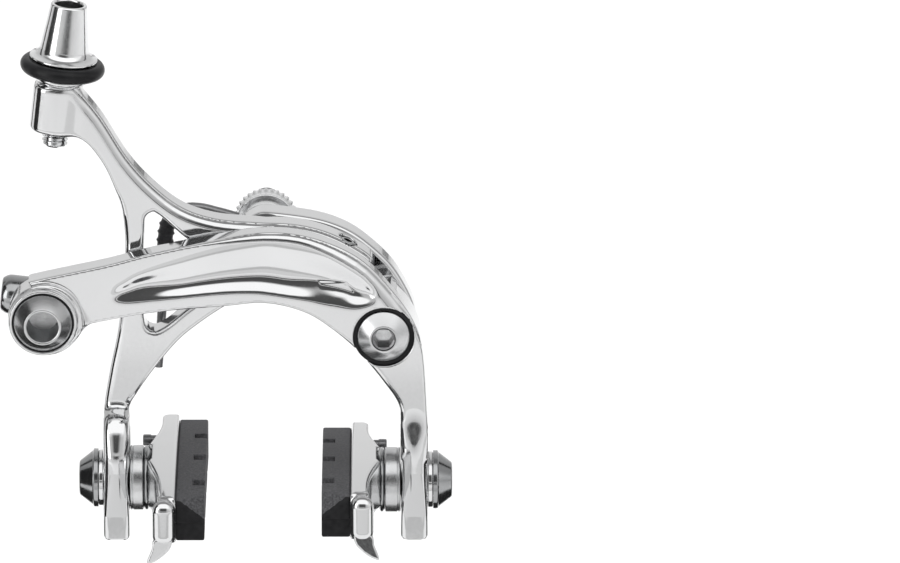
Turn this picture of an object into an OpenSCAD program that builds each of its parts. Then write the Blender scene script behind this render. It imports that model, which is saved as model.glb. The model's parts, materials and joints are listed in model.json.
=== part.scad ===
// Dual-pivot side-pull rim brake caliper.
// Millimetres. The origin is on the centre bolt's axis, at the face that meets the frame or fork.
// +X is to the right seen from the front, +Y points back to the fork, +Z is up.

/* [Reach and pivots] */
// Shortest reach, from the centre bolt down to a pad stud
reach_min = 39; // [38.5:0.5:40]
// Longest reach, from the centre bolt down to a pad stud
reach_max = 49; // [48:0.5:49.5]
// Reach at which the left pad is set
left_reach = 46.4; // [44:0.1:47.5]
// Reach at which the right pad is set
right_reach = 46.9; // [44:0.1:47.5]
// Side pivot, distance to the right of the centre bolt
side_x = 22.7; // [22.5:0.1:22.9]
// Side pivot, distance below the centre bolt
side_drop = 16.1; // [15.9:0.1:16.3]

/* [Depths from front to back] */
// Thickness of the front arm where it crosses the rear arm
front_arm_t = 5.1; // [4.8:0.1:5.1]
// Thickness of the rear arm
rear_arm_t = 6; // [5.8:0.1:6]
// Thickness of the bridge that joins the two pivots
bridge_t = 6; // [5.5:0.1:6]
// Thickness of the plain spacer behind the bridge
spacer_t = 3.5; // [3:0.1:4]
// Thickness of the serrated washer
serrated_t = 3.5; // [3:0.1:4]
// Depth of each arm's lower end, front to back
foot_t = 14; // [13:0.5:14]

/* [Bolts and pivots] */
// Radius of the centre bolt's thread
bolt_r = 3; // [3:0.1:3]
// Length of thread standing out of the back
bolt_tail = 9.5; // [8:0.5:12]
// Radius of the centre bolt's bearing shank
shank_r = 3.5; // [3.4:0.05:3.5]
// Radius of the side pivot's shank
pivot_r = 3.5; // [3.3:0.05:3.6]
// Radial running clearance in the pivots
run_gap = 0.04; // [0.03:0.01:0.06]
// Radius of the serrated washer
serrated_r = 6.4; // [6:0.1:6.6]
// Number of teeth on the serrated washer
tooth_count = 28; // [20:1:32]

/* [Barrel adjuster] */
// Radius of the bore that takes the cable housing
housing_r = 2.7; // [2.6:0.05:2.8]
// Radius of the bore that takes the inner cable
inner_r = 1.1; // [1:0.05:1.2]
// Radius of the adjuster's thread
adjuster_thread_r = 2.5; // [2.4:0.05:2.5]
// Radius of the flange that keeps the rubber ring
flange_r = 6.5; // [6.3:0.1:6.7]
// Radius of the rubber ring's cord
ring_cord_r = 1.42; // [1.3:0.02:1.42]

/* [Cable anchor] */
// Radius of the front arm's anchor boss
boss_r = 6.55; // [6.4:0.05:6.7]
// Radius of the anchor pin
anchor_r = 4; // [3.9:0.05:4.1]
// Radius of the hole that takes the inner cable under the clamp
clamp_hole_r = 0.9; // [0.8:0.05:0.95]

/* [Brake pads] */
// Length of a pad
pad_length = 48; // [44:1:50]
// Height of a pad
pad_height = 8; // [7:0.5:8.5]
// Thickness of the rubber
pad_t = 5.5; // [5:0.1:5.5]
// Radius of the rim that the pads follow
rim_r = 310; // [290:5:320]
// Upward tilt of the right pad's front end, degrees
right_pitch = 3; // [0:0.5:3]

/* [Hidden] */
$fn = 64;

polished = "silver";
brushed = "darkgray";
steel = "dimgray";
rubber = "black";

// A cut runs past the face it opens by this much
cut = 1;
// Clear space between faces that slide on each other
face_gap = 0.05;

// Depths: each layer is worked out from the mounting face at y = 0
serrated_front = -serrated_t;
bridge_back = serrated_front - spacer_t;
bridge_front = bridge_back - bridge_t;
thrust_t = 0.4;
rear_arm_back = bridge_front - thrust_t - 2 * face_gap;
rear_arm_front = rear_arm_back - rear_arm_t;
front_arm_back = rear_arm_front - 0.4;
front_arm_front = front_arm_back - front_arm_t;
deep_back = bridge_front - thrust_t;
arm_mid = (rear_arm_front + rear_arm_back) / 2;
stud_y = rear_arm_front;
foot_front = stud_y - foot_t / 2;
foot_back = stud_y + foot_t / 2;

// Bearings
bush_wall = 0.7;
bush_r = shank_r + run_gap + bush_wall;
side_bush_r = pivot_r + run_gap + 1;

// Feet of the arms: inner and outer faces, measured from the centre plane
left_foot = [26.3, 31.4];
right_foot = [25.9, 31.2];
foot_bottom = -56.9;
foot_top = -34;
slot_half = 3.3;
stud_r = 3;

// Barrel adjuster: where its thread ends, and how far its axis leans
adjuster_foot = [-40.3, arm_mid, 20.1];
adjuster_lean = 6.5;
seat_from = 12.6;
seat_to = 14.2;
neck_r = 5.15;
neck_to = 17.35;
flange_to = 17.95;
cone_from = 19.2;
cone_r = 4.6;
mouth_r = 3.45;
barrel_to = 28.4;
housing_from = 17.5;
ring_at = 15.8;
ring_r = 6.7;

// Cable anchor
anchor_x = -42.5;
anchor_z = -12.1;
boss_front = front_arm_front - 3;
clamp_parting = -1.45;
clamp_bolt_y = 3.6;
clamp_bolt_z = 0.1;
clamp_bolt_r = 2.5;
clamp_washer_r = 4.4;
clamp_low = -4.2;
clamp_high = 4;

// Centring screw: the middle of its recess and the middle of its ball end
screw_top = [15.9, 0.8];
screw_ball = [13.9, -3.7];
screw_r = 1.5;
screw_lean = atan2(screw_top[0] - screw_ball[0], screw_top[1] - screw_ball[1]);
plate_top = -5.35;
plate_from = 10.7;
plate_w = 4.2;
plate_t = 1;

// Smooth curve through a list of points, with a few straight steps between each pair
function curve_at(p, i, t) =
    let (
        a = p[max(i - 1, 0)],
        b = p[i],
        c = p[i + 1],
        d = p[min(i + 2, len(p) - 1)]
    )
    0.5 * (2 * b + (c - a) * t + (2 * a - 5 * b + 4 * c - d) * t * t
        + (3 * b - a - 3 * c + d) * t * t * t);
function smooth(p, steps = 4) = [
    for (i = [0 : len(p) - 2]) for (k = [0 : steps - 1]) curve_at(p, i, k / steps),
    p[len(p) - 1]
];

// Points beside a curve, at a fixed distance to its left
function direction(p, i) =
    let (v = p[min(i + 1, len(p) - 1)] - p[max(i - 1, 0)]) v / norm(v);
function beside(p, d) = [
    for (i = [0 : len(p) - 1]) p[i] + d * [-direction(p, i)[1], direction(p, i)[0]]
];
function reversed(p) = [for (i = [len(p) - 1 : -1 : 0]) p[i]];
function strip(p, width) = concat(beside(p, width / 2), reversed(beside(p, -width / 2)));

// Half of an outline in x and z becomes a plate between two depths
module slab(front, back) {
    translate([0, back, 0]) rotate([90, 0, 0]) linear_extrude(back - front) children();
}
module rod_y(x, z, front, back, r) {
    translate([x, back, z]) rotate([90, 0, 0]) cylinder(r = r, h = back - front);
}
module ring_y(x, z, front, back, r, hole) {
    difference() {
        rod_y(x, z, front, back, r);
        rod_y(x, z, front - cut, back + cut, hole);
    }
}
// A turned shape about an axis along +X, drawn with the axis as the outline's upright
module turned_x() {
    rotate([0, 90, 0]) rotate_extrude() children();
}
// A turned shape about an axis along -Y: outline heights run from the back to the front
module turned_front(x, z) {
    translate([x, 0, z]) rotate([90, 0, 0]) rotate_extrude() children();
}
module on_adjuster() {
    translate(adjuster_foot) rotate([0, adjuster_lean, 0]) children();
}
module on_anchor() {
    translate([anchor_x, arm_mid, anchor_z]) rotate([0, adjuster_lean, 0]) children();
}
module on_screw() {
    translate([screw_ball[0], arm_mid, screw_ball[1]]) rotate([0, screw_lean, 0]) children();
}

// ---------------------------------------------------------------- centre and bridge

module centre_bolt() {
    head_front = rear_arm_front - 0.15;
    head_back = head_front + 1.15;
    color(steel) difference() {
        union() {
            rod_y(0, 0, head_front, head_back, shank_r + 0.7);
            rod_y(0, 0, head_back, 0, shank_r);
            rod_y(0, 0, 0, bolt_tail, bolt_r);
        }
        rod_y(0, 0, head_front - cut, head_front + 0.8, 1.9);
    }
}

module serrated_washer() {
    tooth_r = 0.42;
    color(brushed) difference() {
        rod_y(0, 0, serrated_front, 0, serrated_r);
        rod_y(0, 0, serrated_front - cut, cut, shank_r + face_gap);
        for (i = [0 : tooth_count - 1])
            rotate([0, i * 360 / tooth_count, 0])
                rod_y(serrated_r + 0.1, 0, serrated_front - cut, cut, tooth_r);
    }
}

module rear_spacer() {
    color(brushed) ring_y(0, 0, bridge_back, serrated_front, 5, shank_r + face_gap);
}

module bridge_outline() {
    polygon(concat(
        smooth([[-5.2, 0], [-4.4, 2.9], [-1.6, 4.95], [1.25, 5.15], [8.9, 4.1], [14.1, 2.5],
            [18.4, 0], [23.6, -4.8], [26.8, -9.7], [28.8, -14.6], [28.7, -18.2], [26.4, -21.2],
            [22.4, -22.1], [18.4, -20.2]]),
        smooth([[14.3, -14.9], [9.2, -9.4], [3.5, -6.3], [-1.6, -5.3], [-4.5, -3.1]])
    ));
}

module bridge() {
    color(polished) difference() {
        slab(bridge_front, bridge_back) bridge_outline();
        rod_y(0, 0, bridge_front - cut, bridge_back + cut, shank_r + face_gap);
        rod_y(side_x, -side_drop, bridge_front - cut, bridge_back + cut, pivot_r + face_gap);
    }
}

module centre_thrust_washer() {
    color(brushed)
        ring_y(0, 0, bridge_front - thrust_t - face_gap, bridge_front - face_gap, 5.1, shank_r + face_gap);
}

module centre_front_washer() {
    front = rear_arm_front + 1.03;
    color(brushed) ring_y(0, 0, front, front + 0.17, shank_r + 0.7, shank_r + face_gap);
}

module side_pivot_bolt() {
    head_back = front_arm_front + 2.5;
    shoulder = front_arm_front + 0.5;
    nose = front_arm_front - 1.3;
    head_r = 5.2;
    lip_r = 2.65;
    socket_r = 2.3;
    color(brushed) difference() {
        turned_front(side_x, -side_drop) polygon([
            [0, -bridge_back], [pivot_r, -bridge_back], [pivot_r, -head_back], [head_r, -head_back],
            [head_r, -shoulder], [lip_r + 0.1, -nose], [0, -nose]
        ]);
        rod_y(side_x, -side_drop, nose - cut, nose + 0.5, socket_r);
        translate([side_x, nose + 2.6, -side_drop]) rotate([90, 0, 0])
            cylinder(r = 2.2, h = 2.6, $fn = 6);
    }
}

module side_thrust_washer() {
    back = bridge_front - 0.08;
    color(brushed) ring_y(side_x, -side_drop, back - 0.24, back, 5.6, pivot_r + face_gap);
}

// The spring leaves the bridge, passes behind the rear arm's window and ends below it
function spring_line() = smooth([[-5.5, 2.4], [-9, 5], [-13.8, 5], [-17.4, 2.6], [-19.2, -2.2],
    [-19.8, -9], [-20.2, -17], [-20.9, -26.4]]);
spring_front = rear_arm_back + 0.9;
spring_back = spring_front + 1.8;

module return_spring() {
    color(steel) slab(spring_front, spring_back) polygon(strip(spring_line(), 1.7));
}

// ---------------------------------------------------------------- rear arm

module rear_arm_outline() {
    upper = smooth([[-36.2, 32.4], [-31.4, 26.4], [-26.3, 18], [-21.3, 12.2], [-15.8, 7.9],
        [-9.5, 5.7], [-2, 4.95], [5, 4.6], [10, 3.6], [14.5, 1.8], [18.9, -0.8], [20.6, -2.6],
        [19.6, -4.3]]);
    under = smooth([[15, -3.5], [9.5, -4.9], [4, -7], [-2, -8.7], [-7.7, -11.6], [-13.4, -15.6],
        [-17.4, -19.2], [-22.2, -25.3], [-25.3, -30], [-26.3, -32.2], [-26.3, -33.5]]);
    outer = smooth([[-31.3, -34.5], [-31.1, -31], [-29.9, -24], [-28.4, -16.5], [-27.3, -7],
        [-27, 1], [-27.6, 8], [-29.2, 13.8], [-32.2, 18.8], [-36.6, 21.3]]);
    polygon(concat(upper, under, outer, [[-40, 23.2], [-40, 32]]));
}

module rear_arm_window() {
    polygon(smooth([[-21.4, 7.4], [-19.6, 6.1], [-15.4, 2.2], [-10.5, -1.5], [-7.8, -4.6],
        [-10.5, -8.6], [-15.4, -12.6], [-19.4, -15.9], [-21.7, -16.7], [-23.3, -14.6],
        [-23.5, -6], [-23.2, 2], [-22.9, 6.2], [-21.4, 7.4]]));
}

// The lower end of an arm: a deep block with a rounded tip and shoulder
module foot_outline(inner, outer) {
    mid = (inner + outer) / 2;
    tip = 0.9;
    polygon([
        [inner, foot_bottom + tip], [inner + tip, foot_bottom], [outer - tip, foot_bottom],
        [outer, foot_bottom + tip], [outer, foot_top - 1], [mid, foot_top + 1], [inner, foot_top - 1]
    ]);
}
module stud_slot(inner, outer) {
    translate([inner - cut, stud_y - slot_half, -reach_max])
        cube([outer - inner + 2 * cut, 2 * slot_half, reach_max - reach_min]);
    for (z = [-reach_min, -reach_max])
        translate([inner - cut, stud_y, z]) rotate([0, 90, 0])
            cylinder(r = slot_half, h = outer - inner + 2 * cut);
}

module rear_arm() {
    color(polished) difference() {
        union() {
            slab(rear_arm_front, rear_arm_back) rear_arm_outline();
            slab(foot_front, foot_back) mirror([1, 0]) foot_outline(left_foot[0], left_foot[1]);
            on_adjuster() translate([0, 0, 2.6]) cylinder(r = 4.3, h = seat_from - 2.6);
        }
        slab(rear_arm_front - cut, rear_arm_back + cut) rear_arm_window();
        mirror([1, 0, 0]) stud_slot(left_foot[0], left_foot[1]);
        rod_y(0, 0, rear_arm_front - cut, rear_arm_back + cut, bush_r);
        on_adjuster() cylinder(r = adjuster_thread_r + face_gap, h = seat_from + cut);
        on_screw() translate([0, 0, -4]) cylinder(r = screw_r + face_gap, h = 12);
        on_screw() translate([0, 0, 3.9]) cylinder(r = 1.95, h = 6);
    }
}

module centre_bush() {
    color("goldenrod")
        ring_y(0, 0, rear_arm_front + 1.25, rear_arm_back, bush_r, shank_r + run_gap);
}

module spring_peg() {
    color(steel) rod_y(-22.9, -24.6, rear_arm_back, spring_back + 0.4, 1);
}

// Ribbed plastic sleeve on the bend of the spring
module spring_sleeve() {
    bend = smooth([[-17.9, 1.8], [-18.9, -0.8], [-19.35, -4], [-19.65, -7.2]]);
    color(rubber) difference() {
        union() {
            slab(spring_front - 0.4, spring_back + 0.4) polygon(strip(bend, 2.9));
            for (i = [1 : 3 : len(bend) - 2])
                slab(spring_front - 0.6, spring_back + 0.6)
                    polygon(strip([bend[i - 1], bend[i]], 3.5));
        }
        slab(spring_front - 0.02, spring_back + 0.02) polygon(strip(spring_line(), 1.74));
    }
}

module adjuster_seat() {
    color(polished) on_adjuster() rotate_extrude() polygon([
        [adjuster_thread_r + face_gap, seat_from + face_gap], [4.3, seat_from + face_gap],
        [5.1, seat_from + 0.6],
        [5.55, seat_to - 0.3], [5.2, seat_to], [adjuster_thread_r + face_gap, seat_to]
    ]);
}

module centring_screw() {
    color(steel) on_screw() difference() {
        union() {
            sphere(r = screw_r);
            cylinder(r = screw_r, h = 3.8);
        }
        translate([0, 0, 2.6]) cylinder(r = 0.9, h = 2, $fn = 6);
    }
}

// ---------------------------------------------------------------- barrel adjuster

module adjuster_ring() {
    color(rubber) on_adjuster() translate([0, 0, ring_at]) rotate_extrude()
        translate([ring_r, 0]) circle(r = ring_cord_r);
}

module adjuster_barrel() {
    color(polished) on_adjuster() rotate_extrude() polygon([
        [inner_r, 0], [adjuster_thread_r - 0.4, 0], [adjuster_thread_r, 0.4],
        [adjuster_thread_r, seat_to + face_gap], [neck_r, seat_to + face_gap], [neck_r, neck_to],
        [flange_r, neck_to], [flange_r, flange_to], [cone_r + 0.5, flange_to + 0.4],
        [cone_r, cone_from], [mouth_r, barrel_to], [housing_r, barrel_to],
        [housing_r, housing_from], [inner_r, housing_from]
    ]);
}

// ---------------------------------------------------------------- front arm

function front_arm_top() = smooth([[-39.5, -4.6], [-31.7, -2.2], [-22.2, 0.7], [-10.4, 3.2],
    [-0.1, 4.75], [8.9, 3.7], [18.1, -0.7], [24.8, -7.8], [28.8, -14], [30.1, -19.9],
    [30.5, -30.9], [31.2, -35.5]]);
function front_arm_under() = smooth([[25.9, -34.5], [25.9, -32.2], [25.3, -29.4], [22.8, -25.6], [18, -19.5],
    [13, -14.6], [7.4, -11], [0, -9.2], [-7.8, -9.8], [-22.2, -11.2], [-37, -14]]);

module front_arm_outline() {
    polygon(concat(front_arm_top(), front_arm_under()));
}

// The deep part carries the side pivot and reaches under the rear arm's tail
module deep_outline() {
    polygon(concat(
        [[10.4, plate_top], [15.6, plate_top], [17.6, -7.6], [21, -8.2], [24.3, -7.6]],
        smooth([[25.2, -8.4], [28.8, -14], [30.1, -19.9], [30.5, -30.9], [31.2, -35.5]]),
        smooth([[25.9, -34.5], [25.9, -32.2], [25.3, -29.4], [22.8, -25.6], [18, -19.5],
            [13.4, -14.9]]),
        [[10.4, -12]]
    ));
}

module scoop_outline() {
    polygon(smooth([[-29, -6.2], [-20, -3], [-9, -0.8], [2, 0.9], [9, 0.1], [16, -2.8], [20.6, -6.6],
        [19.8, -9.2], [15.5, -9.4], [9, -8], [0, -6.4], [-10, -6.9], [-21, -7.6], [-29, -6.2]]));
}

module front_arm() {
    color(polished) difference() {
        union() {
            slab(front_arm_front, front_arm_back) front_arm_outline();
            slab(front_arm_front, deep_back) deep_outline();
            slab(foot_front, foot_back) foot_outline(right_foot[0], right_foot[1]);
            rod_y(anchor_x, anchor_z, boss_front, front_arm_back, boss_r);
        }
        slab(front_arm_front - cut, front_arm_front + 1.2) scoop_outline();
        rod_y(side_x, -side_drop, front_arm_front - cut, deep_back + cut, side_bush_r);
        rod_y(side_x, -side_drop, front_arm_front - cut, front_arm_front + 2.7, 5.75);
        rod_y(anchor_x, anchor_z, boss_front - cut, front_arm_back + cut, anchor_r + face_gap);
        rod_y(anchor_x, anchor_z, boss_front - cut, boss_front + 1.6, 5.9);
        stud_slot(right_foot[0], right_foot[1]);
        translate([plate_from, arm_mid - 2, plate_top - plate_t]) cube([plate_w, 4, plate_t + cut]);
    }
}

module side_bush() {
    color("goldenrod") ring_y(side_x, -side_drop, front_arm_front + 2.7, deep_back,
        side_bush_r, pivot_r + run_gap);
}

// Hard plate under the ball end of the centring screw
module thrust_plate() {
    color(steel) translate([plate_from, arm_mid - 2, plate_top - plate_t])
        cube([plate_w, 4, plate_t]);
}

// ---------------------------------------------------------------- cable anchor

module anchor_pin() {
    collar = boss_front + 1.4;
    nose = boss_front - 3;
    hole_r = 3.25;
    hole_depth = 7.5;
    color(brushed) turned_front(anchor_x, anchor_z) polygon([
        [0, -front_arm_back - 0.15], [anchor_r, -front_arm_back - 0.15], [anchor_r, -collar],
        [5.6, -collar], [5.6, -boss_front], [3.75, -nose], [hole_r, -nose],
        [hole_r, -nose - hole_depth + 1.2], [0, -nose - hole_depth]
    ]);
}

// Spring clip that keeps the pin in the boss, seen as a thin ring behind the arm
module anchor_clip() {
    front = front_arm_back + 0.2;
    color(steel) ring_y(anchor_x, anchor_z, front, front + 0.8, 5, 2.6);
}

module clamp_bolt_axis() {
    translate([0, clamp_bolt_y, clamp_bolt_z]) children();
}

module clamp_block() {
    front = front_arm_back - arm_mid + 1.1;
    depth = 9.2;
    inner = clamp_parting + 0.1;
    color(brushed) difference() {
        union() {
            on_anchor() translate([0, front + depth, 0]) rotate([90, 0, 0])
                linear_extrude(depth) polygon([
                    [inner, clamp_low], [2.9, clamp_low], [2.9, 1.8], [1.2, clamp_high],
                    [inner, clamp_high]
                ]);
            rod_y(anchor_x, anchor_z, front_arm_back + 0.15, arm_mid + front, 2.5);
        }
        on_anchor() translate([clamp_parting, 0, -7]) cylinder(r = clamp_hole_r, h = 16);
        on_anchor() clamp_bolt_axis() rotate([0, 90, 0]) translate([0, 0, -9])
            cylinder(r = clamp_bolt_r + face_gap, h = 18);
    }
}

module clamp_washer() {
    color(steel) on_anchor() difference() {
        clamp_bolt_axis() translate([clamp_parting - 1.5, 0, 0]) rotate([0, 90, 0])
            cylinder(r = clamp_washer_r, h = 1.4);
        translate([clamp_parting, 0, -7]) cylinder(r = clamp_hole_r, h = 16);
        clamp_bolt_axis() rotate([0, 90, 0]) translate([0, 0, -9])
            cylinder(r = clamp_bolt_r + face_gap, h = 18);
    }
}

module clamp_bolt() {
    under_head = clamp_parting - 1.55;
    head = 5.6;
    head_r = 3.8;
    color(steel) on_anchor() clamp_bolt_axis() difference() {
        translate([under_head, 0, 0]) mirror([1, 0, 0]) turned_x() polygon([
            [0, -5.8], [clamp_bolt_r, -5.8], [clamp_bolt_r, 0], [head_r + 0.2, 0],
            [head_r, head - 1.4], [head_r - 1.2, head], [0, head]
        ]);
        translate([under_head - head - cut, 0, 0]) rotate([0, 90, 0])
            cylinder(r = 2.3, h = 3 + cut, $fn = 6);
    }
}

// ---------------------------------------------------------------- brake pads
// Each pad is drawn on the +X side, with its stud's axis along X through the local origin.

function ring_t(side) = side == "left" ? 2.55 : 2.95;
function foot_of(side) = side == "left" ? left_foot : right_foot;
function reach_of(side) = side == "left" ? left_reach : right_reach;
function dished_x(side) = foot_of(side)[0] - face_gap - ring_t(side);
function holder_x(side) = dished_x(side) - 1.6;
function rubber_x(side) = holder_x(side) - 5;
holder_t = 3.3;

module at_side(side, pitched = false) {
    flip = side == "left" ? 1 : 0;
    pitch = (pitched && side == "right") ? right_pitch : 0;
    mirror([flip, 0, 0]) translate([0, stud_y, -reach_of(side)]) rotate([-pitch, 0, 0]) children();
}
// A band that follows the rim, between two heights about the pad's middle, extruded along x
module rim_band(from, to, low, high, start, end) {
    steps = 12;
    span = [for (i = [0 : steps]) start + (end - start) * i / steps];
    top = [for (y = span) [y, sqrt(pow(rim_r + high, 2) - y * y) - rim_r]];
    bottom = [for (y = reversed(span)) [y, sqrt(pow(rim_r + low, 2) - y * y) - rim_r]];
    translate([from, 0, 0]) rotate([90, 0, 90]) linear_extrude(to - from) polygon(concat(top, bottom));
}
pad_lift = 0.4;
// The screw that holds the rubber in, measured from the stud: back along the holder and up
screw_back = 11.5;
screw_up = 3.6;

module spacer_ring(side) {
    x = dished_x(side) + face_gap / 2;
    color(brushed) at_side(side) translate([x, 0, 0]) turned_x() polygon([
        [stud_r + face_gap, 0], [5.9, 0], [6.25, 0.4], [6.25, ring_t(side) - 0.4],
        [5.9, ring_t(side) - face_gap], [stud_r + face_gap, ring_t(side) - face_gap]
    ]);
}

module outer_washer(side) {
    color(polished) at_side(side) translate([foot_of(side)[1] + face_gap, 0, 0]) turned_x()
        polygon([[stud_r + face_gap, 0], [5.4, 0], [5.4, 0.9], [stud_r + face_gap, 0.9]]);
}

module cone_nut(side) {
    height = 3.7;
    bore = stud_r + face_gap;
    color(steel) at_side(side) translate([foot_of(side)[1] + 1, 0, 0]) difference() {
        turned_x() polygon([
            [bore, 0], [5.65, 0], [5.65, 0.8], [3.2, height], [0, height], [0, 2.2], [bore, 2.2]
        ]);
        translate([2, 0, 0]) rotate([0, 90, 0]) cylinder(r = 2.5, h = 3, $fn = 6);
    }
}

module dished_washer(side) {
    color(brushed) at_side(side) translate([holder_x(side), 0, 0]) turned_x() polygon([
        [stud_r + face_gap, 0], [4.6, 0], [6.6, 1], [6.6, 1.35], [5.6, 1.58], [stud_r + face_gap, 1.58]
    ]);
}

module pad_stud(side) {
    from = rubber_x(side) + 1.9;
    to = foot_of(side)[1] + 3;
    color(steel) at_side(side, true) translate([from, 0, 0]) rotate([0, 90, 0])
        cylinder(r = stud_r, h = to - from);
}

module pad_holder(side) {
    back = rubber_x(side);
    front_end = -pad_length / 2 - 0.1;
    nose_t = 2.6;
    wing = 0.9;
    color(polished) at_side(side, true) difference() {
        union() {
            rim_band(back, back + holder_t, pad_lift - pad_height / 2 - 0.4,
                pad_lift + pad_height / 2 + 1, front_end, pad_length / 2 + 0.8);
            translate([back + holder_t, 0, 0]) turned_x() polygon([
                [0, 0], [6.4, 0], [5.2, 0.9], [4.6, 1.68], [0, 1.68]
            ]);
            rim_band(back + 0.2, back + 4.2, pad_lift - pad_height / 2 - 0.6,
                pad_lift + pad_height / 2 + 0.9, front_end - nose_t, front_end);
            translate([0, front_end, 0]) rotate([90, 0, 0]) linear_extrude(nose_t - wing)
                polygon([[back + 0.5, -4.6], [back + 4, -4.6], [back + 5.5, -8.2], [back + 2.3, -6.9]]);
        }
        translate([back - cut, 0, 0]) rotate([0, 90, 0]) cylinder(r = stud_r + face_gap, h = 9);
        translate([back + holder_t - 1.4, screw_back, screw_up]) rotate([0, 90, 0])
            cylinder(r = 1.05, h = 4);
    }
}

module retention_screw(side) {
    from = rubber_x(side) + holder_t - 1.4;
    color(steel) at_side(side, true) translate([from, screw_back, screw_up])
        rotate([0, 90, 0]) cylinder(r = 1, h = 4.8);
}

module brake_pad(side) {
    back = rubber_x(side);
    groove_places = [-16.1, -1.3, 12.2];
    groove_w = 1.4;
    color(rubber) at_side(side, true) difference() {
        rim_band(back - pad_t, back - 0.02, pad_lift - pad_height / 2, pad_lift + pad_height / 2,
            -pad_length / 2, pad_length / 2);
        for (y = groove_places)
            translate([back - pad_t - cut, y - groove_w / 2, -pad_height])
                cube([2.5 + cut, groove_w, 2 * pad_height]);
    }
}

centre_bolt();
serrated_washer();
rear_spacer();
bridge();
centre_thrust_washer();
centre_front_washer();
side_pivot_bolt();
side_thrust_washer();
return_spring();
rear_arm();
centre_bush();
spring_peg();
spring_sleeve();
adjuster_seat();
centring_screw();
adjuster_ring();
adjuster_barrel();
front_arm();
side_bush();
thrust_plate();
anchor_pin();
anchor_clip();
clamp_block();
clamp_washer();
clamp_bolt();
spacer_ring("left");  // left_spacer_ring
outer_washer("left");  // left_outer_washer
cone_nut("left");  // left_cone_nut
dished_washer("left");  // left_dished_washer
pad_stud("left");  // left_pad_stud
pad_holder("left");  // left_pad_holder
retention_screw("left");  // left_retention_screw
brake_pad("left");  // left_brake_pad
spacer_ring("right");  // right_spacer_ring
outer_washer("right");  // right_outer_washer
cone_nut("right");  // right_cone_nut
dished_washer("right");  // right_dished_washer
pad_stud("right");  // right_pad_stud
pad_holder("right");  // right_pad_holder
retention_screw("right");  // right_retention_screw
brake_pad("right");  // right_brake_pad
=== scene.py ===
import json
import math

import bmesh
import bpy
import numpy as np
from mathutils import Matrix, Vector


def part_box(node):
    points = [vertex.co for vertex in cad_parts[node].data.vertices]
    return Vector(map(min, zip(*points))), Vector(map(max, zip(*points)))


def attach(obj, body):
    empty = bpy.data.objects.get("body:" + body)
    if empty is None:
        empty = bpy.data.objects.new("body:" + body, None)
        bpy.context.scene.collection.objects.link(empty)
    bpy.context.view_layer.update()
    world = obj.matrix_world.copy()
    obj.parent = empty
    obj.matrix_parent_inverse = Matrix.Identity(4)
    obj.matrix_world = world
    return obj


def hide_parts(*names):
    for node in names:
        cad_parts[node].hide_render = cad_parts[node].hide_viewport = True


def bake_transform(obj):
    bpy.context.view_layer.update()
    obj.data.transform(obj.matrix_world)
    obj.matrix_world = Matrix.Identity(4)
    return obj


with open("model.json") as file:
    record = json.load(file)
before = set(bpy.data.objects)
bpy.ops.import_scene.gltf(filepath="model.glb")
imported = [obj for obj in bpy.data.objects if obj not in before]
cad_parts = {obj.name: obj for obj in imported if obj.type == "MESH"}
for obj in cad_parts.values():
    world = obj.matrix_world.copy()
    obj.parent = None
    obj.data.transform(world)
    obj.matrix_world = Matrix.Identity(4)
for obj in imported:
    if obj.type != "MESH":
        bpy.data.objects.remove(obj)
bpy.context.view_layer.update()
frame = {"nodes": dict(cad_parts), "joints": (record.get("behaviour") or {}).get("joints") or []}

import openvdb
from mathutils import Matrix, Vector

# Lengths below are millimetres in the CAD frame: +X right, +Y back, +Z up. Meshes become metres.
MM = 0.001
X, Y, Z = 0, 1, 2


def low(node, axis):
    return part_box(node)[0][axis] / MM


def high(node, axis):
    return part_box(node)[1][axis] / MM


def joint(name):
    return next(j for j in frame["joints"] if j["name"] == name)


def pivot(name):
    return np.array(joint(name)["pos_m"]) / MM


# ------------------------------------ places taken from the frame
REAR_FRONT = low("rear_spacer", Y) - 12.5
REAR_BACK = REAR_FRONT + 6
ARM_FRONT = REAR_FRONT - 5.5
ARM_BACK = REAR_FRONT - 0.4
BRIDGE_FRONT, BRIDGE_BACK = low("bridge", Y), high("bridge", Y)
DEEP_BACK = BRIDGE_FRONT - 0.4
SIDE_X, _, SIDE_Z = pivot("front_arm_swing")
ANCHOR_X, _, ANCHOR_Z = pivot("cable_anchor_swivel")
BOSS_FRONT = ARM_FRONT - 3
STUD_Y = REAR_FRONT
FOOT_FRONT, FOOT_BACK = STUD_Y - 7, STUD_Y + 7
FOOT_BOTTOM, FOOT_TOP = low("rear_arm", Z), -34.0
LEFT_FOOT, RIGHT_FOOT = (-31.4, -26.3), (25.9, 31.2)
SLOT_LOW, SLOT_HIGH, SLOT_HALF = -49.0, -39.0, 3.3
CLEAR_OF_MIDDLE = 20.0
WASHERS_TOP = SLOT_HIGH + 6.6
ADJUSTER = pivot("adjuster_turn")
ADJUSTER_AXIS = np.array(joint("adjuster_turn")["axis"])
SCREW_BALL = pivot("centring_screw_turn")
SCREW_AXIS = np.array(joint("centring_screw_turn")["axis"])
CLAMP_BOLT = pivot("clamp_bolt_turn")
CLAMP_AXIS = np.array(joint("clamp_bolt_turn")["axis"])
CLAMP_FACE = ANCHOR_X - 1.35

# Radii of the holes and bosses that pieces share
CENTRE_BUSH_R, SIDE_BUSH_R, PIVOT_HOLE_R = 4.24, 4.54, 3.55
HEAD_POCKET_R, HEAD_POCKET_DEPTH = 5.85, 2.7
ANCHOR_BOSS_R, ANCHOR_STEP_R = 6.55, 7.1
PIN_HOLE_R, PIN_POCKET_R, PIN_POCKET_DEPTH, PIN_BORE_R = 4.05, 5.9, 1.6, 3.05
ADJUSTER_HOLE_R = 2.55
SCREW_HOLE_R, SCREW_MOUTH_R = 1.55, 1.95
STUD_R, STUD_HOLE_R = 3.0, 3.05


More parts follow.
